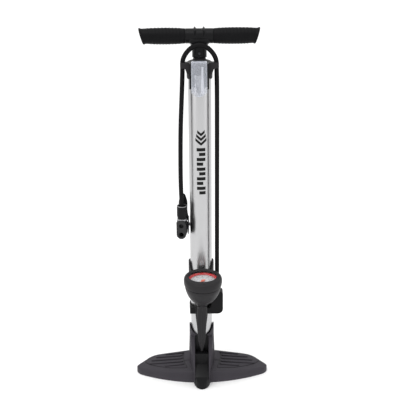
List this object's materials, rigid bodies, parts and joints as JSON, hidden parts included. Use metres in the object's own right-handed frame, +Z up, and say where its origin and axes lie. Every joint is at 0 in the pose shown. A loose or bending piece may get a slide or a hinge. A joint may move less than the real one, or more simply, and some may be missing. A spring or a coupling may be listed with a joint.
{
  "type": "floor bike pump",
  "caption": "Upright floor pump with a winged foot, alloy barrel, T handle, dial gauge pod, clipped hose and two-valve lever head.",
  "frame": {"origin": "on the barrel's axis at floor level, at the middle of the foot's flat sole", "axes": "+Z up the barrel towards the handle, +X along the right-hand wing and grip, -Y towards the gauge and the toe"},
  "size_m": [0.242, 0.1268, 0.6324],
  "materials": {
    "foot_plastic": "purple-grey fine-grained moulded plastic",
    "dark_plastic": "dark grey matte moulded plastic",
    "black_plastic": "black moulded plastic with a low sheen",
    "barrel_aluminium": "satin drawn aluminium tube, clear anodised",
    "steel": "bright zinc-plated steel",
    "brass": "plain machined brass",
    "rubber": "black rubber, faint satin sheen",
    "grip_rubber": "black grip rubber with fine ribs",
    "red_trim": "red gloss ring",
    "dial_white": "white printed dial plate",
    "needle_paint": "orange-red painted pointer",
    "clear_plastic": "clear moulded plastic with a blue tint"
  },
  "bodies": {
    "pump": {"base_foot": "foot_plastic", "base_screw_left": "steel", "base_screw_right": "steel", "barrel_tube": "barrel_aluminium", "base_plug": "black_plastic", "plug_seal": "rubber", "check_spring": "steel", "gauge_stalk": "dark_plastic", "gauge_housing": "dark_plastic", "gauge_bezel": "dark_plastic", "gauge_trim_ring": "red_trim", "gauge_lens": "clear_plastic", "gauge_dial": "dial_white", "gauge_socket": "brass", "bourdon_tube": "brass", "outlet_collar": "black_plastic", "outlet_screw": "steel", "hose_ferrule": "steel", "hose": "rubber", "head_nut": "black_plastic", "head_body": "black_plastic", "head_face": "black_plastic", "presta_gasket": "rubber", "schrader_gasket": "rubber", "lever_pin": "steel", "top_cap": "dark_plastic", "cap_screw_left": "steel", "cap_screw_right": "steel", "rod_bush": "black_plastic", "bush_washer": "rubber"},
    "piston": {"piston_head": "black_plastic", "piston_seal": "rubber"},
    "handle": {"piston_rod": "steel", "piston_nut": "steel", "stop_bumper": "rubber", "handle_core": "black_plastic", "handle_pin": "steel", "grip_left": "grip_rubber", "grip_right": "grip_rubber"},
    "check_disc": {"check_valve_disc": "rubber"},
    "needle": {"gauge_needle": "needle_paint", "needle_arbor": "steel"},
    "lever": {"head_lever": "black_plastic"},
    "pusher": {"gasket_pusher": "black_plastic"},
    "case": {"accessory_case": "clear_plastic", "taper_nozzle": "clear_plastic", "ball_needle": "steel"}
  },
  "joints": [
    {"name": "pump_stroke", "type": "slide", "parent": "pump", "child": "piston", "axis": [0, 0, 1], "range_m": [0, 0.48]},
    {"name": "handle_swivel", "type": "hinge", "parent": "piston", "child": "handle", "pos_m": [0, 0, 0.617], "axis": [0, 0, 1], "range_deg": [-12, 12]},
    {"name": "check_lift", "type": "slide", "parent": "pump", "child": "check_disc", "axis": [0, 0, -1], "range_m": [0, 0.002], "stiffness_N_per_m": 60, "springref_m": -0.001, "deforming": ["check_spring"]},
    {"name": "needle_turn", "type": "hinge", "parent": "pump", "child": "needle", "pos_m": [0.00285, -0.05443, 0.221], "axis": [-0.0027, 0.0523, -0.9986], "range_deg": [0, 270], "stiffness_Nm_per_rad": 0.0002},
    {"name": "lever_lock", "type": "hinge", "parent": "pump", "child": "lever", "pos_m": [-0.03099, -0.00856, 0.3], "axis": [-0.989, 0.1478, 0], "range_deg": [0, 90]},
    {"name": "pusher_travel", "type": "slide", "parent": "pump", "child": "pusher", "axis": [-0.1478, -0.989, 0], "range_m": [0, 0.0012]},
    {"name": "case_slide", "type": "slide", "parent": "pump", "child": "case", "axis": [0, 0, -1], "range_m": [0, 0.04]}
  ],
  "couplings": [
    {"joint": "pusher_travel", "follows": "lever_lock", "m_per_rad": 0.000763}
  ]
}
